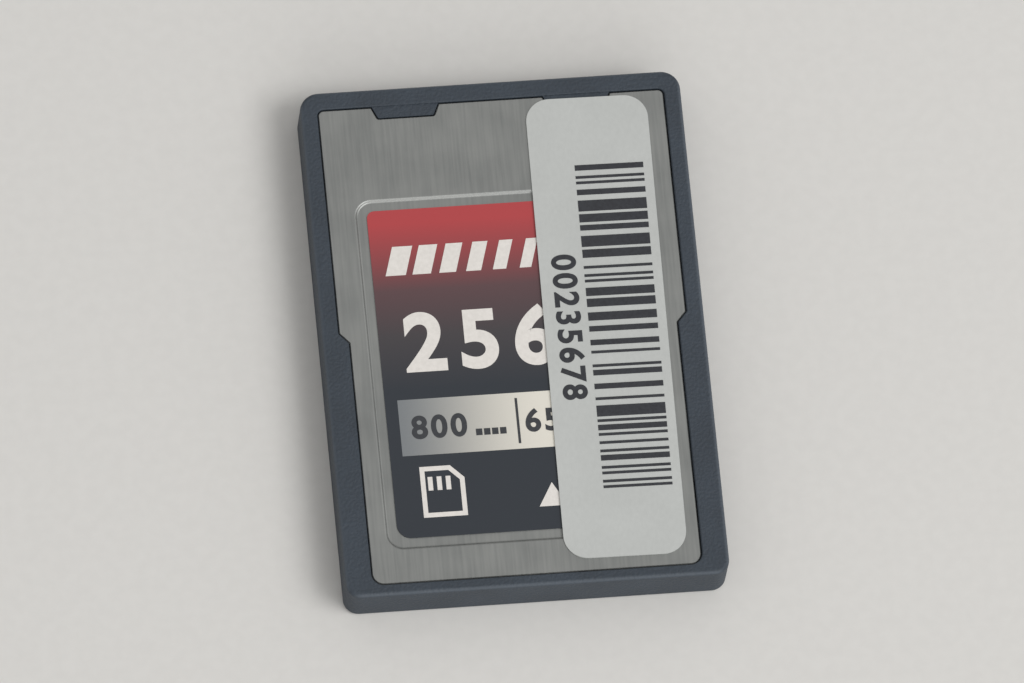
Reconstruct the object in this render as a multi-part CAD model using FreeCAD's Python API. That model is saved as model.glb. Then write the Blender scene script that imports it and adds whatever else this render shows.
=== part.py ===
import FreeCAD, Part
import math
import os

from FreeCAD import Vector

# Memory card, 20 x 28 x 2.8 mm: a moulded frame, a stamped steel cover on each face, and a
# populated circuit board between them whose contacts show through slots in the back.
# Origin: middle of the back face. +X across the card, +Y towards the end that enters the slot,
# +Z out of the labelled face. All lengths are in millimetres.

# Card outline
CARD_WIDTH = 20.0
CARD_LENGTH = 28.0
LEADING_CORNER_RADIUS = 1.0
TAIL_CORNER_RADIUS = 0.8
EDGE_RADIUS = 0.2

# Sheet metal covers, stepped in at both sides and sunk a little below the rim of the frame
COVER_SHEET = 0.2
COVER_RECESS = 0.1
COVER_GAP = 0.05
COVER_EDGE_BREAK = 0.05
COVER_LEADING_RADIUS = 0.3
COVER_TAIL_RADIUS = 0.6
RIM_LEADING_SIDE = 0.92
RIM_TAIL_SIDE = 1.42
RIM_LEADING_END = 1.0
RIM_TAIL_END = 0.65
SIDE_STEP_SETBACK = 12.7
SIDE_STEP_RUN = 0.55
SIDE_STEP_RADIUS = 0.15
RIM_EDGE_BREAK = 0.05

# Two notches in the front cover's leading edge, each filled by a keeper of the frame
NOTCH_OFFSET = 4.5
NOTCH_WIDTH = 3.6
NOTCH_DEPTH = 0.65
NOTCH_FLARE = 0.3
NOTCH_RADIUS = 0.15

# Snap hooks: legs bent in from the covers' sides, each with a window that catches a nub
HOOK_WIDTH = 2.4
HOOK_LENGTH = 0.85
HOOK_WINDOW_WIDTH = 1.2
HOOK_WINDOW_HEIGHT = 0.35
HOOK_WINDOW_DROP = 0.3
FRONT_HOOK_SETBACK = 3.6
BACK_HOOK_SETBACK = 6.2
NUB_REACH = 0.14
NUB_CLEARANCE = 0.06

# Walls of the frame, the shelf that carries the board, and the pegs that place it
SIDE_WALL = 2.0
LEADING_WALL = 1.8
TAIL_WALL = 1.3
CAVITY_CORNER_RADIUS = 0.5
SHELF_REACH = 0.6
SHELF_THICKNESS = 0.5
PEG_RADIUS = 0.4
PEG_RISE = 0.2
PEG_CLEARANCE = 0.06

# Circuit board
BOARD_THICKNESS = 0.6
BOARD_CLEARANCE = 0.1
BOARD_CORNER_RADIUS = 0.4

# Contacts on the underside of the board, and the slots that show them
CONTACT_PITCH = 1.05
CONTACT_WIDTH = 0.6
CONTACT_LENGTH = 2.6
CONTACT_THICKNESS = 0.04
CONTACT_EDGE_MARGIN = 0.3
CONTACT_ROW_MARGIN = 0.4
SLOT_CLEARANCE = 0.1
LEAD_IN_DEPTH = 0.3
CONTACT_BAR = 0.6
BACK_COVER_LEDGE = 0.6

# Chips on the front side of the board
FLASH_WIDTH = 11.5
FLASH_LENGTH = 13.0
FLASH_HEIGHT = 0.8
FLASH_TAIL_MARGIN = 0.6
CONTROLLER_SIDE = 7.0
CONTROLLER_HEIGHT = 0.7
POWER_CHIP_SIDE = 3.0
POWER_CHIP_HEIGHT = 0.6
PACKAGE_EDGE_BREAK = 0.08
PIN_MARK_RADIUS = 0.22
PIN_MARK_INSET = 0.45
PIN_MARK_DEPTH = 0.05

# Small components
INDUCTOR_COUNT = 2
INDUCTOR_LENGTH = 2.0
INDUCTOR_WIDTH = 1.6
INDUCTOR_HEIGHT = 0.8
CRYSTAL_LENGTH = 2.0
CRYSTAL_WIDTH = 1.6
CRYSTAL_HEIGHT = 0.45
CAPACITOR_LENGTH = 1.0
CAPACITOR_WIDTH = 0.5
CAPACITOR_HEIGHT = 0.5
RESISTOR_LENGTH = 1.0
RESISTOR_WIDTH = 0.5
RESISTOR_HEIGHT = 0.35
UNDERSIDE_LENGTH = 0.6
UNDERSIDE_WIDTH = 0.3
UNDERSIDE_HEIGHT = 0.3
UNDERSIDE_COLUMN_OFFSET = 1.75
TERMINAL_SHARE = 0.25
TERMINAL_STEP = 0.02
COMPONENT_SPACE = 0.5
COMPONENT_GAP = 0.25

# Soft pads that carry heat from the chips to the front cover
FLASH_PAD_THICKNESS = 0.2
PAD_MARGIN = 0.8

# Printed label in a stamped recess of the front cover, which dips between the frame's walls
RECESS_SIDE_CLEARANCE = 0.35
RECESS_TAIL_CLEARANCE = 1.2
RECESS_LEADING_SETBACK = 5.15
RECESS_DEPTH = 0.1
RECESS_RADIUS = 0.9
DRAW_RADIUS = 0.12
LABEL_MARGIN = 0.6
LABEL_THICKNESS = 0.06
LABEL_LEADING_RADIUS = 0.4
LABEL_TAIL_RADIUS = 0.75

# Barcode sticker, stuck on a little askew
STICKER_WIDTH = 6.4
STICKER_THICKNESS = 0.08
STICKER_CORNER_RADIUS = 1.25
STICKER_LEADING_MARGIN = 0.2
STICKER_TAIL_MARGIN = 0.65
STICKER_SIDE_MARGIN = 0.55
STICKER_TURN_DEG = -0.6

# Heights above the back face. The stack adds up to the card's 2.8 mm.
BACK_FACE_Z = COVER_RECESS
BACK_SEAT_Z = BACK_FACE_Z + COVER_SHEET
BOARD_Z = BACK_SEAT_Z + SHELF_THICKNESS
BOARD_TOP_Z = BOARD_Z + BOARD_THICKNESS
CONTROLLER_TOP_Z = BOARD_TOP_Z + CONTROLLER_HEIGHT
FLASH_TOP_Z = BOARD_TOP_Z + FLASH_HEIGHT
RECESS_INNER_Z = FLASH_TOP_Z + FLASH_PAD_THICKNESS
FRONT_SEAT_Z = RECESS_INNER_Z + RECESS_DEPTH
FRONT_FACE_Z = FRONT_SEAT_Z + COVER_SHEET
LABEL_FLOOR_Z = FRONT_FACE_Z - RECESS_DEPTH
CARD_THICKNESS = FRONT_FACE_Z + COVER_RECESS

# Places of the covers and the frame's walls in plan
HALF_WIDTH = CARD_WIDTH / 2
HALF_LENGTH = CARD_LENGTH / 2
COVER_LEADING_HALF = HALF_WIDTH - RIM_LEADING_SIDE
COVER_TAIL_HALF = HALF_WIDTH - RIM_TAIL_SIDE
COVER_LEADING_Y = HALF_LENGTH - RIM_LEADING_END
COVER_TAIL_Y = RIM_TAIL_END - HALF_LENGTH
SIDE_STEP_Y = COVER_LEADING_Y - SIDE_STEP_SETBACK
NOTCH_XS = (-NOTCH_OFFSET, NOTCH_OFFSET)
CAVITY_HALF = HALF_WIDTH - SIDE_WALL
CAVITY_LEADING_Y = HALF_LENGTH - LEADING_WALL
CAVITY_TAIL_Y = TAIL_WALL - HALF_LENGTH

# Places of the board and its contacts in plan
BOARD_HALF = CAVITY_HALF - BOARD_CLEARANCE
BOARD_LEADING_Y = CAVITY_LEADING_Y - BOARD_CLEARANCE
BOARD_TAIL_Y = CAVITY_TAIL_Y + BOARD_CLEARANCE
CONTACT_LEADING_Y = BOARD_LEADING_Y - CONTACT_EDGE_MARGIN
CONTACT_TAIL_Y = CONTACT_LEADING_Y - CONTACT_LENGTH
SLOT_TAIL_Y = CONTACT_TAIL_Y - SLOT_CLEARANCE
BACK_COVER_LEADING_Y = SLOT_TAIL_Y - CONTACT_BAR - COVER_GAP
WELL_HALF = CAVITY_HALF - SHELF_REACH
WELL_LEADING_Y = BACK_COVER_LEADING_Y - BACK_COVER_LEDGE
WELL_TAIL_Y = CAVITY_TAIL_Y + SHELF_REACH

# Places of the hooks along the card, two to each long side of a cover
FRONT_HOOK_YS = (COVER_LEADING_Y - FRONT_HOOK_SETBACK, COVER_TAIL_Y + FRONT_HOOK_SETBACK)
BACK_HOOK_YS = (BACK_COVER_LEADING_Y - BACK_HOOK_SETBACK, COVER_TAIL_Y + BACK_HOOK_SETBACK)

# Places of the chips: a row of capacitors fills the gap between flash and controller
CHIP_GAP = CAPACITOR_WIDTH + 2 * COMPONENT_GAP
FLASH_TAIL_Y = BOARD_TAIL_Y + FLASH_TAIL_MARGIN
FLASH_LEADING_Y = FLASH_TAIL_Y + FLASH_LENGTH
CHIP_GAP_Y = FLASH_LEADING_Y + CHIP_GAP / 2
CONTROLLER_TAIL_Y = FLASH_LEADING_Y + CHIP_GAP
CONTROLLER_LEADING_Y = CONTROLLER_TAIL_Y + CONTROLLER_SIDE
BESIDE_FLASH_X = (FLASH_WIDTH / 2 + BOARD_HALF) / 2
BESIDE_CONTROLLER_X = (CONTROLLER_SIDE / 2 + BOARD_HALF) / 2

# Places of the label and its recess
RECESS_HALF = CAVITY_HALF - RECESS_SIDE_CLEARANCE
RECESS_LEADING_Y = COVER_LEADING_Y - RECESS_LEADING_SETBACK
RECESS_TAIL_Y = CAVITY_TAIL_Y + RECESS_TAIL_CLEARANCE

# Cutting tools reach this far past the faces that they open
OVERSHOOT = 1.0
# Lengths closer than this are the same
TOLERANCE = 1e-6


def outline(corners):
    """A face in the XY plane from (x, y, radius) corners, each rounded by its own radius."""
    points = [Vector(x, y, 0) for x, y, _ in corners]
    spans = []
    for i, here in enumerate(points):
        radius = corners[i][2]
        back = (points[i - 1] - here).normalize()
        ahead = (points[(i + 1) % len(points)] - here).normalize()
        half_angle = back.getAngle(ahead) / 2
        reach = radius / math.tan(half_angle)
        dip = radius / math.sin(half_angle) - radius
        spans.append((here + back * reach, here + (back + ahead).normalize() * dip, here + ahead * reach))
    edges = []
    for i, (enter, middle, leave) in enumerate(spans):
        edges.append(Part.LineSegment(spans[i - 1][2], enter).toShape())
        if corners[i][2] > 0:
            edges.append(Part.Arc(enter, middle, leave).toShape())
    return Part.Face(Part.Wire(edges))


def rectangle(half_width, y0, y1, radius, leading_radius=None):
    """A rounded rectangle about the Y axis; its two corners at y1 may have their own radius."""
    lead = radius if leading_radius is None else leading_radius
    tail_corners = [(-half_width, y0, radius), (half_width, y0, radius)]
    return outline(tail_corners + [(half_width, y1, lead), (-half_width, y1, lead)])


def slab(face, z0, z1):
    """The face raised to z0 and extruded to z1."""
    return face.translated(Vector(0, 0, z0)).extrude(Vector(0, 0, z1 - z0))


def block(x0, x1, y0, y1, z0, z1):
    """A box between opposite corners, whichever of each pair is the larger."""
    low = Vector(min(x0, x1), min(y0, y1), min(z0, z1))
    return Part.makeBox(abs(x1 - x0), abs(y1 - y0), abs(z1 - z0), low)


def edges_at(shape, z):
    """The edges of a shape that lie wholly at one height."""
    return [e for e in shape.Edges if all(abs(v.Z - z) < TOLERANCE for v in e.Vertexes)]


def edges_within(shape, z, plan):
    """The edges at one height that lie within the box of a face."""
    box = plan.BoundBox
    box.enlarge(TOLERANCE)
    return [e for e in edges_at(shape, z) if box.isInside(Vector(e.CenterOfMass.x, e.CenterOfMass.y, 0))]


def spread(start, end, pitch):
    """Evenly pitched places between start and end, as many as fit, centred between them."""
    count = max(1, int((end - start) / pitch))
    first = (start + end - pitch * (count - 1)) / 2
    return [first + pitch * i for i in range(count)]


def cover_outline(leading_y):
    """Plan of a cover: wide beside the leading half of the card, stepped in beside the tail half."""
    step_low = SIDE_STEP_Y - SIDE_STEP_RUN / 2
    step_high = SIDE_STEP_Y + SIDE_STEP_RUN / 2
    right = [
        (COVER_TAIL_HALF, COVER_TAIL_Y, COVER_TAIL_RADIUS),
        (COVER_TAIL_HALF, step_low, SIDE_STEP_RADIUS),
        (COVER_LEADING_HALF, step_high, SIDE_STEP_RADIUS),
        (COVER_LEADING_HALF, leading_y, COVER_LEADING_RADIUS),
    ]
    left = [(-x, y, r) for x, y, r in reversed(right)]
    return outline(right + left)


def notch_outline(x, shrink):
    """Trapezoid notch in the leading edge at x; shrink makes the keeper that sits in it."""
    wide = NOTCH_WIDTH / 2 - shrink
    narrow = wide - NOTCH_FLARE
    mouth_y = COVER_LEADING_Y + COVER_GAP
    floor_y = COVER_LEADING_Y - NOTCH_DEPTH + shrink
    radius = NOTCH_RADIUS - shrink
    floor = [(x - narrow, floor_y, radius), (x + narrow, floor_y, radius)]
    return outline(floor + [(x + wide, mouth_y, 0), (x - wide, mouth_y, 0)])


def cover_half_at(y):
    """Half the width of a cover at y, away from its step."""
    return COVER_LEADING_HALF if y > SIDE_STEP_Y else COVER_TAIL_HALF


def hook_places(hook_ys):
    """Side (-1 or 1), y and the cover's edge x for each hook of a cover."""
    return [(side, y, side * cover_half_at(y)) for y in hook_ys for side in (-1, 1)]


def snap_hooks(hook_ys, seat_z, inward):
    """Legs of a cover with their windows; inward is -1 below the front cover, +1 above the back one."""
    legs = []
    foot_z = seat_z + inward * HOOK_LENGTH
    window_z = seat_z + inward * HOOK_WINDOW_DROP
    window_end_z = window_z + inward * HOOK_WINDOW_HEIGHT
    half = HOOK_WIDTH / 2
    window_half = HOOK_WINDOW_WIDTH / 2
    for side, y, edge in hook_places(hook_ys):
        inner = edge - side * COVER_SHEET
        leg = block(inner, edge, y - half, y + half, seat_z, foot_z)
        legs.append(leg.cut(block(inner, edge, y - window_half, y + window_half, window_z, window_end_z)))
    return legs


def hook_pockets(hook_ys, seat_z, inward):
    """Room in the frame for the legs of a cover, with the covers' own gap all round."""
    pockets = []
    foot_z = seat_z + inward * (HOOK_LENGTH + COVER_GAP)
    half = HOOK_WIDTH / 2 + COVER_GAP
    for side, y, edge in hook_places(hook_ys):
        outer = edge + side * COVER_GAP
        inner = edge - side * (COVER_SHEET + COVER_GAP)
        pockets.append(block(inner, outer, y - half, y + half, seat_z, foot_z))
    return pockets


def snap_nubs(hook_ys, seat_z, inward):
    """Wedges on the pockets' outer walls that reach into the legs' windows."""
    nubs = []
    low_z = seat_z + inward * (HOOK_WINDOW_DROP + NUB_CLEARANCE)
    high_z = seat_z + inward * (HOOK_WINDOW_DROP + HOOK_WINDOW_HEIGHT - NUB_CLEARANCE)
    half = HOOK_WINDOW_WIDTH / 2 - NUB_CLEARANCE
    for side, y, edge in hook_places(hook_ys):
        wall = edge + side * COVER_GAP
        tip = wall - side * NUB_REACH
        start = Vector(wall, y - half, low_z)
        profile = [start, Vector(tip, y - half, high_z), Vector(wall, y - half, high_z), start]
        nubs.append(Part.Face(Part.makePolygon(profile)).extrude(Vector(0, 2 * half, 0)))
    return nubs


def contact_xs():
    """Middles of the contacts across the card."""
    reach = BOARD_HALF - CONTACT_ROW_MARGIN
    return spread(-reach, reach, CONTACT_PITCH)


def contact_slots():
    """Openings under the contacts, each with a shallow lead-in through the leading edge."""
    half = CONTACT_WIDTH / 2 + SLOT_CLEARANCE
    outside = HALF_LENGTH + OVERSHOOT
    cuts = []
    for x in contact_xs():
        cuts.append(block(x - half, x + half, SLOT_TAIL_Y, BOARD_LEADING_Y, -OVERSHOOT, BOARD_Z))
        cuts.append(block(x - half, x + half, BOARD_LEADING_Y, outside, -OVERSHOOT, LEAD_IN_DEPTH))
    return cuts


def board_pegs(radius, z0, z1):
    """Round pegs half sunk in the side walls, which place the board along the card."""
    return [
        Part.makeCylinder(radius, z1 - z0, Vector(side * CAVITY_HALF, CHIP_GAP_Y, z0)) for side in (-1, 1)
    ]


def make_frame():
    plan = rectangle(HALF_WIDTH, -HALF_LENGTH, HALF_LENGTH, TAIL_CORNER_RADIUS, LEADING_CORNER_RADIUS)
    body = slab(plan, 0, CARD_THICKNESS)
    body = body.makeFillet(EDGE_RADIUS, edges_at(body, 0) + edges_at(body, CARD_THICKNESS))
    front_seat = cover_outline(COVER_LEADING_Y).makeOffset2D(COVER_GAP)
    back_seat = cover_outline(BACK_COVER_LEADING_Y).makeOffset2D(COVER_GAP)
    cavity = rectangle(CAVITY_HALF, CAVITY_TAIL_Y, CAVITY_LEADING_Y, CAVITY_CORNER_RADIUS)
    well = rectangle(WELL_HALF, WELL_TAIL_Y, WELL_LEADING_Y, CAVITY_CORNER_RADIUS)
    cuts = [
        slab(front_seat, FRONT_SEAT_Z, CARD_THICKNESS + OVERSHOOT),
        slab(back_seat, -OVERSHOOT, BACK_SEAT_Z),
        slab(cavity, BOARD_Z, FRONT_SEAT_Z),
        slab(well, BACK_SEAT_Z, BOARD_Z),
    ]
    cuts += contact_slots()
    cuts += hook_pockets(FRONT_HOOK_YS, FRONT_SEAT_Z, -1)
    cuts += hook_pockets(BACK_HOOK_YS, BACK_SEAT_Z, 1)
    body = body.cut(cuts)
    rims = edges_within(body, CARD_THICKNESS, front_seat) + edges_within(body, 0, back_seat)
    body = body.makeChamfer(RIM_EDGE_BREAK, rims)
    added = [slab(notch_outline(x, COVER_GAP), FRONT_SEAT_Z, FRONT_FACE_Z) for x in NOTCH_XS]
    added += snap_nubs(FRONT_HOOK_YS, FRONT_SEAT_Z, -1)
    added += snap_nubs(BACK_HOOK_YS, BACK_SEAT_Z, 1)
    added += board_pegs(PEG_RADIUS, BOARD_Z, BOARD_TOP_Z + PEG_RISE)
    return body.fuse(added).removeSplitter()


def dish(plan, z_face, rise):
    """A shallow dish below z_face with walls at 45 degrees, carried straight up by rise."""
    floor_z = z_face - RECESS_DEPTH
    body = slab(plan, floor_z, z_face + rise)
    return body.makeChamfer(RECESS_DEPTH, edges_at(body, floor_z))


def stamp_recess(sheet):
    """Press the label's recess into the front cover, with drawn radii on the side that shows."""
    plan = rectangle(RECESS_HALF, RECESS_TAIL_Y, RECESS_LEADING_Y, RECESS_RADIUS)
    sheet = sheet.fuse(dish(plan, FRONT_SEAT_Z, COVER_SHEET / 2)).cut(dish(plan, FRONT_FACE_Z, OVERSHOOT))
    bends = edges_within(sheet, FRONT_FACE_Z, plan) + edges_within(sheet, LABEL_FLOOR_Z, plan)
    return sheet.makeFillet(DRAW_RADIUS, bends)


def make_front_cover():
    plan = cover_outline(COVER_LEADING_Y).cut([notch_outline(x, 0) for x in NOTCH_XS])
    sheet = slab(plan.Faces[0], FRONT_SEAT_Z, FRONT_FACE_Z)
    sheet = sheet.makeChamfer(COVER_EDGE_BREAK, edges_at(sheet, FRONT_FACE_Z))
    sheet = stamp_recess(sheet)
    return sheet.fuse(snap_hooks(FRONT_HOOK_YS, FRONT_SEAT_Z, -1)).removeSplitter()


def make_back_cover():
    sheet = slab(cover_outline(BACK_COVER_LEADING_Y), BACK_FACE_Z, BACK_SEAT_Z)
    sheet = sheet.makeChamfer(COVER_EDGE_BREAK, edges_at(sheet, BACK_FACE_Z))
    return sheet.fuse(snap_hooks(BACK_HOOK_YS, BACK_SEAT_Z, 1)).removeSplitter()


def make_circuit_board():
    plan = rectangle(BOARD_HALF, BOARD_TAIL_Y, BOARD_LEADING_Y, BOARD_CORNER_RADIUS)
    board = slab(plan, BOARD_Z, BOARD_TOP_Z)
    return board.cut(board_pegs(PEG_RADIUS + PEG_CLEARANCE, BOARD_Z, BOARD_TOP_Z))


def make_contact_pads():
    half = CONTACT_WIDTH / 2
    face_z = BOARD_Z - CONTACT_THICKNESS
    ends = (CONTACT_TAIL_Y, CONTACT_LEADING_Y)
    return Part.makeCompound([block(x - half, x + half, *ends, face_z, BOARD_Z) for x in contact_xs()])


def package(x, y, width, length, height):
    """A block on the board, centred at x, y, with its top edges broken."""
    top = BOARD_TOP_Z + height
    body = block(x - width / 2, x + width / 2, y - length / 2, y + length / 2, BOARD_TOP_Z, top)
    return body.makeChamfer(PACKAGE_EDGE_BREAK, edges_at(body, top))


def chip(x, y, width, length, height):
    """A moulded package with a dimple beside its first pin."""
    mark_x = x - width / 2 + PIN_MARK_INSET
    mark_y = y + length / 2 - PIN_MARK_INSET
    mark_z = BOARD_TOP_Z + height - PIN_MARK_DEPTH
    mark = Part.makeCylinder(PIN_MARK_RADIUS, OVERSHOOT, Vector(mark_x, mark_y, mark_z))
    return package(x, y, width, length, height).cut(mark)


def make_flash_chip():
    return chip(0, (FLASH_TAIL_Y + FLASH_LEADING_Y) / 2, FLASH_WIDTH, FLASH_LENGTH, FLASH_HEIGHT)


def make_controller_chip():
    middle = (CONTROLLER_TAIL_Y + CONTROLLER_LEADING_Y) / 2
    return chip(0, middle, CONTROLLER_SIDE, CONTROLLER_SIDE, CONTROLLER_HEIGHT)


def make_power_chip():
    middle = CONTROLLER_TAIL_Y + POWER_CHIP_SIDE / 2
    return chip(BESIDE_CONTROLLER_X, middle, POWER_CHIP_SIDE, POWER_CHIP_SIDE, POWER_CHIP_HEIGHT)


def make_power_inductors():
    """Inductors in line after the power chip."""
    pitch = INDUCTOR_WIDTH + COMPONENT_GAP
    first = CONTROLLER_TAIL_Y + POWER_CHIP_SIDE + COMPONENT_GAP + INDUCTOR_WIDTH / 2
    size = (INDUCTOR_LENGTH, INDUCTOR_WIDTH, INDUCTOR_HEIGHT)
    return Part.makeCompound(
        [package(BESIDE_CONTROLLER_X, first + pitch * i, *size) for i in range(INDUCTOR_COUNT)]
    )


def make_clock_crystal():
    middle = (CONTROLLER_TAIL_Y + CONTROLLER_LEADING_Y) / 2
    return package(-BESIDE_CONTROLLER_X, middle, CRYSTAL_LENGTH, CRYSTAL_WIDTH, CRYSTAL_HEIGHT)


def two_terminal(x, y, length, width, height, along_x=False, seat_z=BOARD_TOP_Z, up=1):
    """A capacitor or resistor: a body between two slightly larger metal ends, soldered at seat_z."""
    end = length / 2
    neck = end - length * TERMINAL_SHARE
    body_half = width / 2 - TERMINAL_STEP
    top = seat_z + up * height
    part = block(-body_half, body_half, -neck, neck, seat_z, top - up * TERMINAL_STEP)
    part = part.fuse([block(-width / 2, width / 2, s * neck, s * end, seat_z, top) for s in (-1, 1)])
    if along_x:
        part.rotate(Vector(0, 0, 0), Vector(0, 0, 1), 90)
    return part.translated(Vector(x, y, 0))


def make_capacitors():
    """A column beside the flash chip, and a row across the board between flash and controller."""
    size = (CAPACITOR_LENGTH, CAPACITOR_WIDTH, CAPACITOR_HEIGHT)
    pitch = CAPACITOR_LENGTH + COMPONENT_SPACE
    reach = BOARD_HALF - PEG_RADIUS - COMPONENT_GAP
    column = [two_terminal(-BESIDE_FLASH_X, y, *size) for y in spread(FLASH_TAIL_Y, FLASH_LEADING_Y, pitch)]
    row = [two_terminal(x, CHIP_GAP_Y, *size, along_x=True) for x in spread(-reach, reach, pitch)]
    return Part.makeCompound(column + row)


def make_resistors():
    """A column along the other side of the flash chip."""
    size = (RESISTOR_LENGTH, RESISTOR_WIDTH, RESISTOR_HEIGHT)
    places = spread(FLASH_TAIL_Y, FLASH_LEADING_Y, RESISTOR_LENGTH + COMPONENT_SPACE)
    return Part.makeCompound([two_terminal(BESIDE_FLASH_X, y, *size) for y in places])


def make_underside_capacitors():
    """Small capacitors under the controller, between the board and the back cover."""
    size = (UNDERSIDE_LENGTH, UNDERSIDE_WIDTH, UNDERSIDE_HEIGHT)
    end = min(CONTROLLER_LEADING_Y, WELL_LEADING_Y)
    places = spread(CONTROLLER_TAIL_Y, end, UNDERSIDE_LENGTH + COMPONENT_SPACE)
    columns = (-UNDERSIDE_COLUMN_OFFSET, UNDERSIDE_COLUMN_OFFSET)
    return Part.makeCompound(
        [two_terminal(x, y, *size, seat_z=BOARD_Z, up=-1) for x in columns for y in places]
    )


def heat_pad(width, y0, y1, chip_top):
    """A pad on a chip, drawn in from the chip's edges, up to the underside of the label's recess."""
    half = width / 2 - PAD_MARGIN
    return block(-half, half, y0 + PAD_MARGIN, y1 - PAD_MARGIN, chip_top, RECESS_INNER_Z)


def make_flash_heat_pad():
    return heat_pad(FLASH_WIDTH, FLASH_TAIL_Y, FLASH_LEADING_Y, FLASH_TOP_Z)


def make_controller_heat_pad():
    return heat_pad(CONTROLLER_SIDE, CONTROLLER_TAIL_Y, CONTROLLER_LEADING_Y, CONTROLLER_TOP_Z)


def make_label():
    tail_y = RECESS_TAIL_Y + LABEL_MARGIN
    leading_y = RECESS_LEADING_Y - LABEL_MARGIN
    plan = rectangle(RECESS_HALF - LABEL_MARGIN, tail_y, leading_y, LABEL_TAIL_RADIUS, LABEL_LEADING_RADIUS)
    return slab(plan, LABEL_FLOOR_Z, LABEL_FLOOR_Z + LABEL_THICKNESS)


def make_barcode_sticker():
    leading_y = COVER_LEADING_Y - STICKER_LEADING_MARGIN
    tail_y = COVER_TAIL_Y + STICKER_TAIL_MARGIN
    middle_x = COVER_TAIL_HALF - STICKER_SIDE_MARGIN - STICKER_WIDTH / 2
    half_length = (leading_y - tail_y) / 2
    plan = rectangle(STICKER_WIDTH / 2, -half_length, half_length, STICKER_CORNER_RADIUS)
    sheet = slab(plan, FRONT_FACE_Z, FRONT_FACE_Z + STICKER_THICKNESS)
    sheet.rotate(Vector(0, 0, 0), Vector(0, 0, 1), STICKER_TURN_DEG)
    return sheet.translated(Vector(middle_x, (leading_y + tail_y) / 2, 0))


NODES = {
    "frame": make_frame,
    "front_cover": make_front_cover,
    "back_cover": make_back_cover,
    "circuit_board": make_circuit_board,
    "contact_pads": make_contact_pads,
    "flash_chip": make_flash_chip,
    "controller_chip": make_controller_chip,
    "power_chip": make_power_chip,
    "power_inductors": make_power_inductors,
    "clock_crystal": make_clock_crystal,
    "capacitors": make_capacitors,
    "resistors": make_resistors,
    "underside_capacitors": make_underside_capacitors,
    "flash_heat_pad": make_flash_heat_pad,
    "controller_heat_pad": make_controller_heat_pad,
    "label": make_label,
    "barcode_sticker": make_barcode_sticker,
}


def main():
    os.makedirs("parts", exist_ok=True)
    for name, make in NODES.items():
        shape = make()
        shape.exportStep(f"parts/{name}.step")
        print(f"{name}: {len(shape.Solids)} solid(s), {shape.Volume:.3f} mm3, valid {shape.isValid()}")


main()
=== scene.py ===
# %% [markdown]
# # A camera memory card
#
# The card is a thumbnail-sized sandwich: a dark moulded frame, a satin steel cover sunk into each face,
# a printed film label in a shallow stamped recess and a paper sticker stuck over it a little askew.
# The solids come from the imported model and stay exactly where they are. This lesson gives every one of
# them a finish, and adds what is printed on the label and the sticker as thin layers of ink.

import math

import bpy
from mathutils import Matrix, Vector


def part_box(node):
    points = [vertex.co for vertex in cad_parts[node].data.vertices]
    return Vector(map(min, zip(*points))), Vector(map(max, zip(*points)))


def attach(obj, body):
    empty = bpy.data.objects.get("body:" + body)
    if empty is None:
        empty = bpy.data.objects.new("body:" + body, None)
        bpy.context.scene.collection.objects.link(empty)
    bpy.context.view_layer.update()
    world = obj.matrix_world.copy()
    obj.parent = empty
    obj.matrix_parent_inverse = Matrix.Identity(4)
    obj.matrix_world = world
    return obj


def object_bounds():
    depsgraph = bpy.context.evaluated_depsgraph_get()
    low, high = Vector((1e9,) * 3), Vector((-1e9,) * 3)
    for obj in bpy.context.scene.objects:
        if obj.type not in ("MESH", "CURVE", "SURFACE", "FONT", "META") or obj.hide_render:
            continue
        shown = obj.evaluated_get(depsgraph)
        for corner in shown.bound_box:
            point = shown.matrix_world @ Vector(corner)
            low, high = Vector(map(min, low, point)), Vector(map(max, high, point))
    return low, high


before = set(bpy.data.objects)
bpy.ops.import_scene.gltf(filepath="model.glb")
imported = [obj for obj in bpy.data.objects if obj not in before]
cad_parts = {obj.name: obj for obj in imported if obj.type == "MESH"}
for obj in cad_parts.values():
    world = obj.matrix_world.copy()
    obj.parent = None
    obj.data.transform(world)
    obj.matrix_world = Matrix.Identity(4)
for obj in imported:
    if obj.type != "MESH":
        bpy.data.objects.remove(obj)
cad_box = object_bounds()
scene = bpy.context.scene
MM = 0.001
card_low, card_high = cad_box
card_centre = (card_low + card_high) / 2
print("card size in mm:", [round(side / MM, 2) for side in card_high - card_low])

# %% [markdown]
# ## The camera
#
# The photograph looks steeply down from the tail of the card, a little from its left, and is taken from
# far away, so the edges of the card stay almost parallel. A camera could be pushed about by hand until it
# looks right, but an azimuth, an elevation, a roll and a distance say the same in four numbers that can be
# measured. The lens is worked out so that the card fills a chosen share of the picture's height.

# %% Camera
VIEW_AZIMUTH = math.radians(-15.6)
VIEW_ELEVATION = math.radians(69.3)
VIEW_ROLL = math.radians(10.9)
VIEW_DISTANCE = 0.935
CARD_SHARE_OF_HEIGHT = 0.8
IMAGE_WIDTH, IMAGE_HEIGHT = 1024, 683
SENSOR_WIDTH = 36.0
NEAREST_SEEN = 0.01

towards_camera = Vector((
    math.sin(VIEW_AZIMUTH) * math.cos(VIEW_ELEVATION),
    -math.cos(VIEW_AZIMUTH) * math.cos(VIEW_ELEVATION),
    math.sin(VIEW_ELEVATION),
))
level_right = Vector((math.cos(VIEW_AZIMUTH), math.sin(VIEW_AZIMUTH), 0))
level_up = towards_camera.cross(level_right)
picture_right = level_right * math.cos(VIEW_ROLL) + level_up * math.sin(VIEW_ROLL)
picture_up = level_up * math.cos(VIEW_ROLL) - level_right * math.sin(VIEW_ROLL)

corners = [Vector((x, y, z)) for x in (card_low.x, card_high.x)
           for y in (card_low.y, card_high.y) for z in (card_low.z, card_high.z)]
heights = [(corner - card_centre).dot(picture_up) for corner in corners]
sensor_height = SENSOR_WIDTH * IMAGE_HEIGHT / IMAGE_WIDTH

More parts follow.
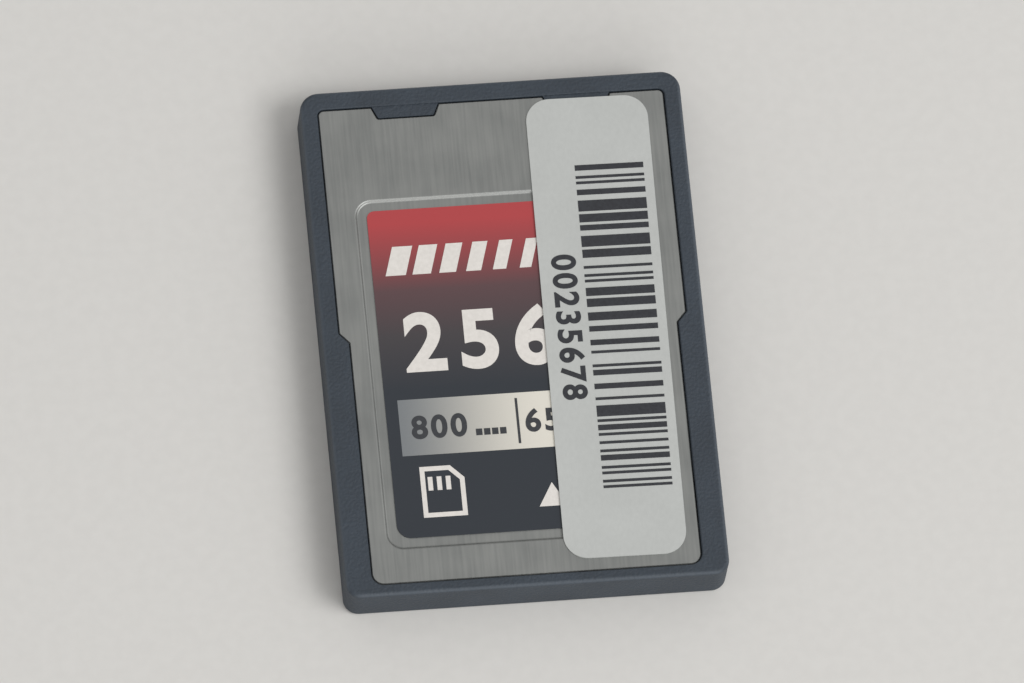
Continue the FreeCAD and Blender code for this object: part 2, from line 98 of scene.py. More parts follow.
camera_data = bpy.data.cameras.new("camera")
camera_data.sensor_width = SENSOR_WIDTH
camera_data.lens = CARD_SHARE_OF_HEIGHT * sensor_height * VIEW_DISTANCE / (max(heights) - min(heights))
camera_data.clip_start = NEAREST_SEEN
camera = bpy.data.objects.new("camera", camera_data)
turn = Matrix((picture_right, picture_up, towards_camera)).transposed().to_4x4()
camera.matrix_world = Matrix.Translation(card_centre + towards_camera * VIEW_DISTANCE) @ turn
scene.collection.objects.link(camera)
scene.camera = camera
print(f"lens {camera_data.lens:.0f} mm")

# %% [markdown]
# ## Light and floor
#
# The light in the photograph is soft, with a brighter source on the right that glints in one corner of the
# label's recess, and some light from the front that lifts the tail face. One small strong lamp would glint
# too, but satin steel mirrors such a lamp as a white glare from the other side. Two large lamps of little
# brightness give the same light without that, and an even grey world fills the rest. Together they add up
# to about one, so a colour renders as it is written.

# %% Light and floor
WORLD_LIGHT = 0.5
LAMPS = {
    "right_lamp": {"place": Vector((0.49, -0.29, 0.76)), "size": 0.5, "power": 4.2},
    "front_lamp": {"place": Vector((0.18, -1.12, 0.41)), "size": 1.0, "power": 4.0},
}
FLOOR_HALF = 2.0


def soft_lamp(name, place, size, power):
    """A square lamp that faces the card."""
    data = bpy.data.lights.new(name, "AREA")
    data.energy = power
    data.size = size
    lamp = bpy.data.objects.new(name, data)
    lamp.matrix_world = Matrix.Translation(place) @ place.to_track_quat("Z", "Y").to_matrix().to_4x4()
    scene.collection.objects.link(lamp)


for name, lamp in LAMPS.items():
    soft_lamp(name, **lamp)

scene.view_settings.view_transform = "Standard"
world = bpy.data.worlds.new("even_sky")
world.use_nodes = True
world.node_tree.nodes["Background"].inputs["Color"].default_value = (1, 1, 1, 1)
world.node_tree.nodes["Background"].inputs["Strength"].default_value = WORLD_LIGHT
scene.world = world

floor_sides = ((-1, -1), (1, -1), (1, 1), (-1, 1))
floor_corners = [(x * FLOOR_HALF, y * FLOOR_HALF, 0) for x, y in floor_sides]
floor_mesh = bpy.data.meshes.new("floor")
floor_mesh.from_pydata(floor_corners, [], [(0, 1, 2, 3)])
floor = bpy.data.objects.new("floor", floor_mesh)
scene.collection.objects.link(floor)
print("lamps:", ", ".join(LAMPS))

# %% [markdown]
# ## Writing nodes as sums
#
# A finish is a tree of nodes, and most of its nodes are arithmetic. Adding and linking each by hand takes
# three lines apiece and hides the sum that they make. `Number` wraps one socket and lets Python's own
# operators add the Math nodes, so a mask reads as a formula.

# %% Numbers
class Number:
    """A socket that carries a value. Arithmetic on it adds Math nodes."""

    def __init__(self, nodes, socket):
        self.nodes = nodes
        self.socket = socket

    def math(self, operation, *values):
        return self.nodes.add("ShaderNodeMath", {"operation": operation}, dict(enumerate(values)))

    def __add__(self, other):
        return self.math("ADD", self, other)

    def __radd__(self, other):
        return self.math("ADD", other, self)

    def __sub__(self, other):
        return self.math("SUBTRACT", self, other)

    def __rsub__(self, other):
        return self.math("SUBTRACT", other, self)

    def __mul__(self, other):
        return self.math("MULTIPLY", self, other)

    def __rmul__(self, other):
        return self.math("MULTIPLY", other, self)

    def __truediv__(self, other):
        return self.math("DIVIDE", self, other)

    def __rtruediv__(self, other):
        return self.math("DIVIDE", other, self)

    def __abs__(self):
        return self.math("ABSOLUTE", self)

    def smaller(self, other):
        return self.math("MINIMUM", self, other)

    def larger(self, other):
        return self.math("MAXIMUM", self, other)

    def rise(self, start, end):
        """0 before start, 1 after end and smooth between them."""
        limits = {"Value": self, "From Min": start, "From Max": end}
        return self.nodes.add("ShaderNodeMapRange", {"interpolation_type": "SMOOTHSTEP"}, limits)


print("numbers ready")

# %% [markdown]
# ## Adding any node
#
# Noise, ramps, mixes and the Math nodes themselves are all added in the same way: a type, its settings, and
# a value or a link for each input. So `Nodes` has one method for all of them. The settings come first,
# because they decide which sockets a node has. What comes back is one of its outputs, as a `Number`.

# %% Nodes
class Nodes:
    """Adds nodes to one tree."""

    def __init__(self, tree):
        self.tree = tree

    def socket(self, sockets, key):
        """A socket by its number, or by its name among those that the node's settings leave in use."""
        if isinstance(key, int):
            return sockets[key]
        return next(socket for socket in sockets if socket.name == key and socket.enabled)

    def set_stops(self, node, stops):
        """Give a colour ramp these stops in place of the two that it starts with."""
        elements = node.color_ramp.elements
        elements.remove(elements[-1])
        for number, (position, stop_colour) in enumerate(stops):
            stop = elements.new(position) if number else elements[0]
            stop.position = position
            stop.color = stop_colour

    def add(self, kind, settings=None, inputs=None, output=0):
        """Add a node, set it up and return one of its outputs."""
        node = self.tree.nodes.new(kind)
        for name, value in (settings or {}).items():
            if name == "stops":
                self.set_stops(node, value)
            else:
                setattr(node, name, value)
        for key, value in (inputs or {}).items():
            socket = self.socket(node.inputs, key)
            if isinstance(value, Number):
                self.tree.links.new(value.socket, socket)
            else:
                socket.default_value = value
        return Number(self, self.socket(node.outputs, output))


print("nodes ready")

# %% [markdown]
# ## A finish for each material
#
# A finish could be a picture wrapped on UVs, but these solids have none, and a picture blurs up close. So
# every finish starts from the Principled shader and reads Object coordinates, turned to millimetres: grain
# has its real size and stays on the piece from any side. Blender's noise keeps close to one half, so
# `grain` spreads it over the whole range from 0 to 1. Colours are written as they look on screen and turned
# to the linear values that the shader needs.

# %% Finish helper
def colour(code):
    """A screen colour such as "b4373d" as the linear colour that a shader takes."""
    channels = [int(code[i:i + 2], 16) / 255 for i in (0, 2, 4)]
    linear = [c / 12.92 if c <= 0.04045 else ((c + 0.055) / 1.055) ** 2.4 for c in channels]
    return (*linear, 1.0)


NOISE_REACH = 0.28


class Finish(Nodes):
    """A material on the Principled shader, with the card's own millimetres at hand."""

    def __init__(self, name, **constants):
        self.material = bpy.data.materials.new(name)
        self.material.use_nodes = True
        super().__init__(self.material.node_tree)
        self.shader = self.tree.nodes["Principled BSDF"]
        for socket, value in constants.items():
            self.shader.inputs[socket.replace("_", " ")].default_value = value
        metres = self.add("ShaderNodeTexCoord", output="Object")
        to_mm = {"Vector": metres, "Scale": 1 / MM}
        self.place = self.add("ShaderNodeVectorMath", {"operation": "SCALE"}, to_mm)
        self.x, self.y, self.z = (
            self.add("ShaderNodeSeparateXYZ", inputs={"Vector": self.place}, output=axis) for axis in "XYZ")

    def feed(self, socket, value):
        """Link a varying value or colour to the shader."""
        self.tree.links.new(value.socket, self.shader.inputs[socket])

    def grain(self, per_mm, detail=2.0, stretch=(1, 1, 1)):
        """Noise from 0 to 1 with so many grains to a millimetre, drawn out along an axis by stretch."""
        scale = [per_mm / factor for factor in stretch]
        place = self.add("ShaderNodeMapping", inputs={"Vector": self.place, "Scale": scale})
        noise = self.add("ShaderNodeTexNoise", inputs={"Vector": place, "Scale": 1.0, "Detail": detail})
        return noise.rise(0.5 - NOISE_REACH, 0.5 + NOISE_REACH)

    def blend(self, first, second, share):
        """A colour between two others."""
        ends = {"Factor": share, "A": first, "B": second}
        return self.add("ShaderNodeMix", {"data_type": "RGBA"}, ends, "Result")

    def relief(self, height, depth_mm):
        """Bump the surface by a height of 0 to 1, this deep."""
        self.feed("Normal", self.add("ShaderNodeBump", inputs={"Height": height, "Distance": depth_mm * MM}))


def dress(finish, *nodes):
    """Give CAD nodes a finish in place of the plain one that they were packed with."""
    for name in nodes:
        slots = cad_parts[name].data.materials
        slots.clear()
        slots.append(finish.material)


print("finish helper ready")

# %% [markdown]
# ## Floor finish
#
# The card lies on a plain pale floor. Pure white would hide where the floor ends and the light begins, so
# it is a warm grey with a hint of tooth, on which the card's shadow reads.

# %% Floor finish
FLOOR_PALE = colour("dbd9d5")
FLOOR_SHADE = colour("d8d6d2")
FLOOR_GRAINS, FLOOR_ROUGHNESS = 1.5, 0.85


def pale_floor():
    finish = Finish("pale_floor", Roughness=FLOOR_ROUGHNESS)
    finish.feed("Base Color", finish.blend(FLOOR_SHADE, FLOOR_PALE, finish.grain(FLOOR_GRAINS)))
    return finish


floor_mesh.materials.append(pale_floor().material)
print("floor dressed")

# %% [markdown]
# ## Frame plastic
#
# The frame is injection moulded in a dark slate plastic. The mould is spark eroded, which leaves a fine
# matt grain of little pits. There are far too many to model, so one noise darkens, roughens and bumps the
# surface together, which makes them read as pits. The outer edges are a little smoother where fingers hold
# the card, and a little lighter: that lighter colour is a painted highlight along the edges, with some
# rubbing in it. The mask for them is how close a point is to two outer faces at once.

# %% Frame plastic
SLATE = colour("3b444e")
SLATE_PIT = colour("2f363e")
# Colour of the outer edges: a painted highlight, with some rubbing by fingers
SLATE_HIGHLIGHT_AND_RUB = colour("59616a")
SPARK_GRAINS, SPARK_DEPTH = 6.5, 0.02
SLATE_ROUGHNESS, SPARK_ROUGHENS, EDGE_SMOOTHS = 0.56, 0.14, 0.16
EDGE_WIDTH, HIGHLIGHT_AND_RUB_LIGHTENS = 0.22, 0.7
CLOUD_GRAINS = 0.35

half_width = card_high.x / MM
half_length = card_high.y / MM
half_thickness = card_high.z / MM / 2


def frame_plastic():
    finish = Finish("frame_plastic", Metallic=0.0)
    spark = finish.grain(SPARK_GRAINS, detail=3.0)
    cloud = finish.grain(CLOUD_GRAINS)
    past_side = abs(finish.x) - half_width
    past_end = abs(finish.y) - half_length
    past_face = abs(finish.z - half_thickness) - half_thickness
    outside = past_side.larger(past_end).rise(-EDGE_WIDTH, 0)
    # Edge mask: lightens the outer edges as a painted highlight, partly rubbing, and makes them smoother
    edge = outside * past_face.rise(-EDGE_WIDTH, 0) * HIGHLIGHT_AND_RUB_LIGHTENS
    slate = finish.blend(SLATE_PIT, SLATE, (spark + cloud) / 2)
    finish.feed("Base Color", finish.blend(slate, SLATE_HIGHLIGHT_AND_RUB, edge))
    finish.feed("Roughness", SLATE_ROUGHNESS + SPARK_ROUGHENS * spark - EDGE_SMOOTHS * edge)
    finish.relief(spark, SPARK_DEPTH)
    return finish


dress(frame_plastic(), "frame")
print("frame dressed")

# %% [markdown]
# ## Cover steel
#
# The covers are thin stainless sheet with a satin finish: mid grey, with fine hairs drawn out along the way
# that the sheet was rolled and faint clouds where the rolls pressed it unevenly. A real hair line is far
# finer than a pixel, so these are the bundles of hairs that the eye sees.

# %% Cover steel
STEEL = colour("a4a5a2")
STEEL_DULL = colour("969896")
HAIR_GRAINS, HAIR_STRETCH, HAIR_DEPTH = 9.0, (1, 30, 1), 0.0012
STEEL_ROUGHNESS, CLOUD_ROUGHENS, HAIR_ROUGHENS = 0.38, 0.1, 0.08


def cover_steel():
    finish = Finish("cover_steel", Metallic=1.0)
    hair = finish.grain(HAIR_GRAINS, detail=3.0, stretch=HAIR_STRETCH)
    cloud = finish.grain(CLOUD_GRAINS, detail=4.0)
    finish.feed("Base Color", finish.blend(STEEL_DULL, STEEL, (hair + cloud) / 2))
    finish.feed("Roughness", STEEL_ROUGHNESS + CLOUD_ROUGHENS * cloud + HAIR_ROUGHENS * hair)
    finish.relief(hair, HAIR_DEPTH)
    return finish


dress(cover_steel(), "front_cover", "back_cover")
print("covers dressed")

# %% [markdown]
# ## Gold contacts and the board
#
# Each contact is gold over nickel, polished in streaks along the way that a slot's springs wipe it, so its
# noise is drawn out along the card. The board behind is green solder mask over woven glass, which shows as
# a dark edge round every contact. The mask is a varnish, and a coat on the shader gives its second, softer
# gloss without a second layer of mesh.

# %% Contacts and board
GOLD = colour("d9b36a")
GOLD_WIPED = colour("e8cc8f")
GOLD_ROUGHNESS, WIPE_POLISHES = 0.34, 0.14
WIPE_GRAINS, WIPE_STRETCH = 7.0, (1, 14, 1)
MASK_GREEN = colour("1d4a33")
MASK_DARK = colour("163a29")
MASK_ROUGHNESS, WEAVE_ROUGHENS = 0.4, 0.15
WEAVE_GRAINS, WEAVE_DEPTH = 1.6, 0.006


def contact_gold():
    finish = Finish("contact_gold", Metallic=1.0)
    wiped = finish.grain(WIPE_GRAINS, stretch=WIPE_STRETCH)
    finish.feed("Base Color", finish.blend(GOLD, GOLD_WIPED, wiped))
    finish.feed("Roughness", GOLD_ROUGHNESS - WIPE_POLISHES * wiped)
    return finish


def board_mask():
    finish = Finish("board_mask", Coat_Weight=0.4, Coat_Roughness=0.25)
    weave = finish.grain(WEAVE_GRAINS, detail=3.0)
    finish.feed("Base Color", finish.blend(MASK_DARK, MASK_GREEN, weave))
    finish.feed("Roughness", MASK_ROUGHNESS + WEAVE_ROUGHENS * weave)
    finish.relief(weave, WEAVE_DEPTH)
    return finish


dress(contact_gold(), "contact_pads")
dress(board_mask(), "circuit_board")
print("contacts and board dressed")

# %% [markdown]
# ## Pieces inside the card
#
# Nobody sees these until the card is opened, but each keeps its own finish: moulded epoxy chips, fired
# ceramic capacitors and resistors, ferrite coils, a plated can and soft heat pads. They differ only in
# colour, roughness and grain, so one function makes them all.

# %% Pieces inside
GRAIN_ROUGHENS = 0.15


def plain_finish(name, light, dark, roughness, grains, depth_mm, metallic=0.0):
    """Two shades mixed by a grain that also roughens and bumps the surface."""
    finish = Finish(name, Metallic=metallic)
    grain = finish.grain(grains, detail=3.0)
    finish.feed("Base Color", finish.blend(colour(dark), colour(light), grain))
    finish.feed("Roughness", roughness + GRAIN_ROUGHENS * (grain - 0.5))
    finish.relief(grain, depth_mm)
    return finish


epoxy = plain_finish("moulded_epoxy", "2a2b2e", "232427", roughness=0.62, grains=8.0, depth_mm=0.004)
ferrite = plain_finish("ferrite", "4a4a4c", "3b3b3d", roughness=0.7, grains=6.0, depth_mm=0.005)
can = plain_finish("plated_can", "c9c9c4", "b8b8b3", roughness=0.3, grains=5.0, depth_mm=0.001, metallic=1.0)
tan_ceramic = plain_finish("tan_ceramic", "b08d66", "9c7a55", roughness=0.55, grains=6.0, depth_mm=0.003)
dark_ceramic = plain_finish("dark_ceramic", "2e2e31", "222225", roughness=0.45, grains=6.0, depth_mm=0.003)
soft_pad = plain_finish("heat_pad", "9aa6b6", "8b97a8", roughness=0.9, grains=3.0, depth_mm=0.008)

dress(epoxy, "flash_chip", "controller_chip", "power_chip")
dress(ferrite, "power_inductors")
dress(can, "clock_crystal")
dress(tan_ceramic, "capacitors", "underside_capacitors")
dress(dark_ceramic, "resistors")
dress(soft_pad, "flash_heat_pad", "controller_heat_pad")
print("inner pieces dressed")

# %% [markdown]
# ## Label film
#
# The label is a printed film under a clear coat: red at its leading edge, fading through maroon to a
# near black that fills the rest. Strips of label with a colour each would step through the fade. A colour
# ramp along the card is smooth, and each of its stops can be read and moved by itself.

# %% Label film
LABEL_RED = colour("b43f42")
LABEL_MAROON = colour("5b4043")
LABEL_DUSK = colour("403b3e")
LABEL_BLACK = colour("262c34")
FADE_LENGTH = 10.0
FADE_STOPS = [(0, LABEL_RED), (0.08, LABEL_RED), (0.45, LABEL_MAROON), (0.7, LABEL_DUSK), (1, LABEL_BLACK)]
FILM_ROUGHNESS, SPECK_ROUGHENS = 0.42, 0.08
SPECK_GRAINS, SPECK_DEPTH = 6.0, 0.0012

label_low, label_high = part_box("label")


def label_film():
    finish = Finish("label_film", Coat_Weight=0.25, Coat_Roughness=0.3)
    down = (label_high.y / MM - finish.y) / FADE_LENGTH
    fade = finish.add("ShaderNodeValToRGB", {"stops": FADE_STOPS}, {"Fac": down}, "Color")
    speck = finish.grain(SPECK_GRAINS, detail=3.0)
    finish.feed("Base Color", fade)
    finish.feed("Roughness", FILM_ROUGHNESS + SPECK_ROUGHENS * speck)
    finish.relief(speck, SPECK_DEPTH)
    return finish


dress(label_film(), "label")
print("label dressed")

# %% [markdown]
# ## Layers of ink
#
# What is printed could be painted by masks in the label's own finish, but figures are hard to write as
# masks. Here each print is a real layer, a hundredth of a millimetre high, so that its edges stay sharp and
# it is there in any renderer. It is sunk a little into what carries it, because two faces in one plane
# would flicker.

# %% Ink layers
INK_HEIGHT = 0.012 * MM
INK_SUNK = 0.004 * MM
INK_BODY = INK_HEIGHT + INK_SUNK


def plain_mesh(maker):
    """What an object shows, as a plain mesh. The object itself is deleted."""
    scene.collection.objects.link(maker)
    depsgraph = bpy.context.evaluated_depsgraph_get()
    mesh = bpy.data.meshes.new_from_object(maker.evaluated_get(depsgraph))
    maker.modifiers.clear()
    bpy.data.objects.remove(maker)
    return mesh


def print_piece(name, mesh, place):
    """A layer of ink at its place: it rides on the card."""
    mesh.transform(place)
    piece = bpy.data.objects.new(name, mesh)
    scene.collection.objects.link(piece)
    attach(piece, "root")
    print(name, "faces:", len(mesh.polygons))


def ink_level(surface_z):
    """Middle height of a layer of ink that lies on a surface."""
    return surface_z - INK_SUNK + INK_BODY / 2


print(f"ink stands {INK_HEIGHT / MM:.3f} mm high")

# %% [markdown]
# ## Shapes and figures in ink
#
# Plain shapes are filled outlines: a 2D curve fills its loops, leaves out the loops inside them and gets its
# thickness from an extrusion. Figures are text, treated the same way. Text has a size and a place of its
# own, so a flat trial is measured first, and the figures are then scaled to their height and moved to the
# origin.

# %% Ink shapes and figures
FIGURE_WEIGHT = 0.03


def ink_shape(name, loops, finish):
    """Filled loops of (x, y) points in millimetres as a layer of ink."""
    curve = bpy.data.curves.new(name, "CURVE")
    curve.dimensions = "2D"
    curve.fill_mode = "BOTH"
    curve.extrude = INK_BODY / 2
    curve.materials.append(finish.material)
    for loop in loops:
        spline = curve.splines.new("POLY")
        spline.points.add(len(loop) - 1)
        for point, (x, y) in zip(spline.points, loop):
            point.co = (x * MM, y * MM, 0, 1)
        spline.use_cyclic_u = True
    return plain_mesh(bpy.data.objects.new(name, curve))


def ink_figures(name, words, height, spacing, finish):
    """Bold figures of a given height, with their lower left corner at the origin."""
    text = bpy.data.curves.new(name, "FONT")
    text.body = words
    text.offset = FIGURE_WEIGHT
    text.space_character = spacing
    text.materials.append(finish.material)
    trial = plain_mesh(bpy.data.objects.new(name, text))
    xs = [vertex.co.x for vertex in trial.vertices]
    ys = [vertex.co.y for vertex in trial.vertices]
    scale = height * MM / (max(ys) - min(ys))
    text.extrude = INK_BODY / 2 / scale
    mesh = plain_mesh(bpy.data.objects.new(name, text))
    mesh.transform(Matrix.Scale(scale, 4) @ Matrix.Translation((-min(xs), -min(ys), 0)))
    return mesh


print("shapes and figures ready")

# %% [markdown]
# ## Inks
#
# The print uses three inks: an opaque white with the slight unevenness of screen printing, a silver
# panel that runs from grey to near white, and dark figures on the silver. White and dark are two more plain
# finishes. The silver has a fade of its own, which a smooth step across the label gives.

# %% Inks
PANEL_GREY = colour("7e8285")
PANEL_PALE = colour("eae5d9")
PANEL_FADE = (0.0, 0.62)
PANEL_ROUGHNESS, PANEL_SPECK_ROUGHENS = 0.36, 0.1
white_ink = plain_finish("white_ink", "e9e4de", "e0dbd5", roughness=0.5, grains=5.0, depth_mm=0.0012)
dark_ink = plain_finish("dark_ink", "3b3d41", "333539", roughness=0.55, grains=6.0, depth_mm=0.0012)


def silver_ink():
    finish = Finish("silver_ink", Metallic=0.15)
    across = (finish.x - label_low.x / MM) / ((label_high.x - label_low.x) / MM)
    speck = finish.grain(SPECK_GRAINS, detail=3.0)
    finish.feed("Base Color", finish.blend(PANEL_GREY, PANEL_PALE, across.rise(*PANEL_FADE)))
    finish.feed("Roughness", PANEL_ROUGHNESS + PANEL_SPECK_ROUGHENS * speck)
    finish.relief(speck, SPECK_DEPTH)
    return finish


print("inks:", white_ink.material.name, dark_ink.material.name)

# %% [markdown]
# ## Growing what repeats
#
# Stripes, marks and bars stand in rows that follow a rule. A loop could place each of them, but Geometry
# Nodes keep the rule in one tree, with a named input for each size, and the tree can run again with others.
# `Growth` builds such a tree. Its last nodes make the copies real, because an export drops instances, and
# give them their finish. What it grows is kept as a plain mesh.

# %% Geometry Nodes helper
class Growth(Nodes):
    """A Geometry Nodes tree with named inputs."""

    def __init__(self, name, inputs):
        super().__init__(bpy.data.node_groups.new(name, "GeometryNodeTree"))
        self.tree.interface.new_socket("Geometry", in_out="OUTPUT", socket_type="NodeSocketGeometry")
        for label, kind in inputs.items():
            self.tree.interface.new_socket(label, in_out="INPUT", socket_type="NodeSocket" + kind)
        self.entry = self.tree.nodes.new("NodeGroupInput")
        self.exit = self.tree.nodes.new("NodeGroupOutput")

    def given(self, label):
        return Number(self, self.entry.outputs[label])

    def vector(self, x=0.0, y=0.0, z=0.0):
        return self.add("ShaderNodeCombineXYZ", inputs={"X": x, "Y": y, "Z": z})

    def end(self, geometry):
        """Make instances real, give them their finish and close the tree."""
        real = self.add("GeometryNodeRealizeInstances", inputs={"Geometry": geometry})
        finish = self.given("Finish")
        done = self.add("GeometryNodeSetMaterial", inputs={"Geometry": real, "Material": finish})
        self.tree.links.new(done.socket, self.exit.inputs[0])

    def grow(self, name, sizes, finish):
        """Run the tree with these sizes and keep the result as a plain mesh."""
        carrier = bpy.data.objects.new(name, bpy.data.meshes.new(name))
        modifier = carrier.modifiers.new(name, "NODES")
        modifier.node_group = self.tree
        values = {"Ink": INK_BODY, "Finish": finish.material, **sizes}
        for item in self.tree.interface.items_tree:
            if item.in_out == "INPUT":
                modifier[item.identifier] = values[item.name]
        return plain_mesh(carrier)


print("growth ready")

# %% [markdown]
# ## Stripes in a row
#
# At the head of the label runs a row of slanted stripes that get narrower: points on a line, a block on each
# point, and a shear that leans them all over. With no lean and no taper, the same tree makes the unit marks
# on the silver panel and the contact marks in the little card sign further down.

# %% Stripe tree
def stripe_tree():
    tree = Growth("stripe_row", {"Count": "Int", "Pitch": "Float", "Width": "Float", "Taper": "Float",
                                 "Height": "Float", "Lean": "Float", "Ink": "Float", "Finish": "Material"})
    index = tree.add("GeometryNodeInputIndex")
    step = tree.vector(x=tree.given("Pitch"))
    line = tree.add("GeometryNodeMeshLine", inputs={"Count": tree.given("Count"), "Offset": step})
    block = tree.add("GeometryNodeMeshCube", inputs={"Size": (1, 1, 1)})
    width = tree.given("Width") - tree.given("Taper") * index
    size = tree.vector(width, tree.given("Height"), tree.given("Ink"))
    row = tree.add("GeometryNodeInstanceOnPoints", inputs={"Points": line, "Instance": block, "Scale": size})
    real = tree.add("GeometryNodeRealizeInstances", inputs={"Geometry": row})
    place = tree.add("GeometryNodeInputPosition")
    height = tree.add("ShaderNodeSeparateXYZ", inputs={"Vector": place}, output="Y")
    lean = tree.vector(x=height * tree.given("Lean"))
    tree.end(tree.add("GeometryNodeSetPosition", inputs={"Geometry": real, "Offset": lean}))
    return tree


def stripe_row(name, count, pitch, width, height, finish, taper=0.0, lean=0.0):
    """A row of stripes with sizes in millimetres, the first of them about the origin."""
    sizes = {"Count": count, "Pitch": pitch * MM, "Width": width * MM, "Height": height * MM,
             "Taper": taper * MM, "Lean": lean}
    return stripes.grow(name, sizes, finish)


stripes = stripe_tree()
print("stripe tree nodes:", len(stripes.tree.nodes))

# %% [markdown]
# ## What is printed on the label
#
# From the leading edge down: the row of stripes, a large plain figure, a silver panel for smaller figures,
# and at the foot a sign of a card and an arrow that shows which way the card goes in. All of it is generic,
# and the sticker covers the right of it. Places are measured from the label's leading left corner, so that
# the print follows the label wherever the solids put it.

# %% Label print
STRIPE_COUNT = 7
STRIPE_HEIGHT = 1.6
STRIPE_PITCH = 1.36
STRIPE_WIDTH = 1.06
STRIPE_TAPER = 0.09
STRIPE_LEAN = 0.3
STRIPES_RIGHT, STRIPES_DOWN = 1.45, 2.85
FIGURE_HEIGHT = 3.4
FIGURE_RIGHT, FIGURE_FOOT = 1.3, 9.1
FIGURE_SPACING = 1.3
PANEL_INSET, PANEL_TOP, PANEL_FOOT = 0.65, 10.55, 13.65


def on_label(right_mm, down_mm):
    """A place on the label, measured from its leading left corner."""
    corner = Vector((label_low.x, label_high.y, ink_level(label_high.z)))
    return Matrix.Translation(corner + Vector((right_mm * MM, -down_mm * MM, 0)))


def box_loop(x0, y0, x1, y1):
    """The four corners of a rectangle."""
    return [(x0, y0), (x1, y0), (x1, y1), (x0, y1)]


row = stripe_row("label_stripes", STRIPE_COUNT, STRIPE_PITCH, STRIPE_WIDTH, STRIPE_HEIGHT, white_ink,
                 STRIPE_TAPER, STRIPE_LEAN)
print_piece("label_stripes", row, on_label(STRIPES_RIGHT, STRIPES_DOWN))

figure = ink_figures("label_figure", "256", FIGURE_HEIGHT, FIGURE_SPACING, white_ink)
print_piece("label_figure", figure, on_label(FIGURE_RIGHT, FIGURE_FOOT))

panel_right = (label_high.x - label_low.x) / MM - PANEL_INSET
panel_loop = box_loop(PANEL_INSET, -PANEL_FOOT, panel_right, -PANEL_TOP)
panel = ink_shape("silver_panel", [panel_loop], silver_ink())
print_piece("silver_panel", panel, on_label(0, 0))

# %% [markdown]
# ## Figures on the silver panel
#
# The panel is a layer of ink itself, so its divider, figures and unit marks lie one layer higher. The units
# are only a row of small blocks: at their real size nobody reads them.

# %% Panel figures
DIVIDER_RIGHT, DIVIDER_WIDTH, DIVIDER_INSET = 6.75, 0.13, 0.3
SMALL_FIGURE_HEIGHT, SMALL_FIGURE_FOOT, SMALL_FIGURE_SPACING = 1.3, 12.77, 1.2
SMALL_FIGURE_RIGHTS = {"800": 1.25, "650": 7.2}
UNIT_COUNT, UNIT_PITCH, UNIT_WIDTH, UNIT_HEIGHT = 4, 0.42, 0.33, 0.36
UNIT_RIGHT, UNIT_DOWN = 4.75, 12.58

on_panel = Matrix.Translation((0, 0, INK_HEIGHT))
divider_loop = box_loop(DIVIDER_RIGHT, DIVIDER_INSET - PANEL_FOOT, DIVIDER_RIGHT + DIVIDER_WIDTH,
                        -PANEL_TOP - DIVIDER_INSET)
divider = ink_shape("panel_divider", [divider_loop], dark_ink)
print_piece("panel_divider", divider, on_panel @ on_label(0, 0))
for words, right in SMALL_FIGURE_RIGHTS.items():
    name = "panel_figure_" + words
    small = ink_figures(name, words, SMALL_FIGURE_HEIGHT, SMALL_FIGURE_SPACING, dark_ink)
    print_piece(name, small, on_panel @ on_label(right, SMALL_FIGURE_FOOT))
units = stripe_row("panel_unit_marks", UNIT_COUNT, UNIT_PITCH, UNIT_WIDTH, UNIT_HEIGHT, dark_ink)
print_piece("panel_unit_marks", units, on_panel @ on_label(UNIT_RIGHT, UNIT_DOWN))

# %% [markdown]
# ## Card sign and arrow
#
# The sign is the outline of a card with one cut corner, drawn as a loop inside a loop, and a row of
# contact marks grown by the stripe tree. A line with a width would do as well, but two loops give it mitred
# corners. The arrow is a single triangle.

# %% Card sign and arrow
SIGN_RIGHT, SIGN_FOOT = 1.45, 17.1
SIGN_WIDTH, SIGN_HEIGHT = 2.3, 2.8
SIGN_CUT, SIGN_LINE = 0.7, 0.25
MARK_COUNT, MARK_PITCH, MARK_WIDTH, MARK_HEIGHT = 3, 0.47, 0.25, 0.75
MARK_DROP = 0.95
ARROW_RIGHT, ARROW_FOOT = 7.5, 16.9
ARROW_WIDTH, ARROW_HEIGHT = 1.5, 1.3


def cut_card(inset):
    """A rectangle with its leading right corner cut off, drawn in by inset on every side."""
    right, head = SIGN_WIDTH - inset, SIGN_HEIGHT - inset
    # The slanted side moves in as far as the others, which takes this much off the cut
    cut = SIGN_CUT - inset * (2 - math.sqrt(2))
    return [(inset, inset), (right, inset), (right, head - cut), (right - cut, head), (inset, head)]


sign = ink_shape("card_sign", [cut_card(0), cut_card(SIGN_LINE)], white_ink)
print_piece("card_sign", sign, on_label(SIGN_RIGHT, SIGN_FOOT))

# The row of marks leaves half the cut corner free
marks_middle = SIGN_RIGHT + (SIGN_WIDTH - SIGN_CUT / 2) / 2
marks_right = marks_middle - MARK_PITCH * (MARK_COUNT - 1) / 2
marks_down = SIGN_FOOT - SIGN_HEIGHT + MARK_DROP
marks = stripe_row("card_sign_marks", MARK_COUNT, MARK_PITCH, MARK_WIDTH, MARK_HEIGHT, white_ink)
print_piece("card_sign_marks", marks, on_label(marks_right, marks_down))

arrow = ink_shape("insert_arrow", [[(0, 0), (ARROW_WIDTH, 0), (ARROW_WIDTH / 2, ARROW_HEIGHT)]], white_ink)
print_piece("insert_arrow", arrow, on_label(ARROW_RIGHT, ARROW_FOOT))

# %% [markdown]
# ## Sticker paper
#
# The sticker is matt coated paper, pale grey with a touch of green. Fibres show only as a faint grain that
# lies a little along the sheet, so one noise, slightly drawn out, carries the tone, the gloss and the bump,
# and a second, much larger one gives it a faint cloud.

# %% Sticker paper
PAPER = colour("c2c4c1")
PAPER_SHADE = colour("b9bbb8")
PAPER_ROUGHNESS, FIBRE_ROUGHENS = 0.62, 0.15
FIBRE_GRAINS, FIBRE_STRETCH, FIBRE_DEPTH = 5.0, (1, 1.6, 1), 0.003


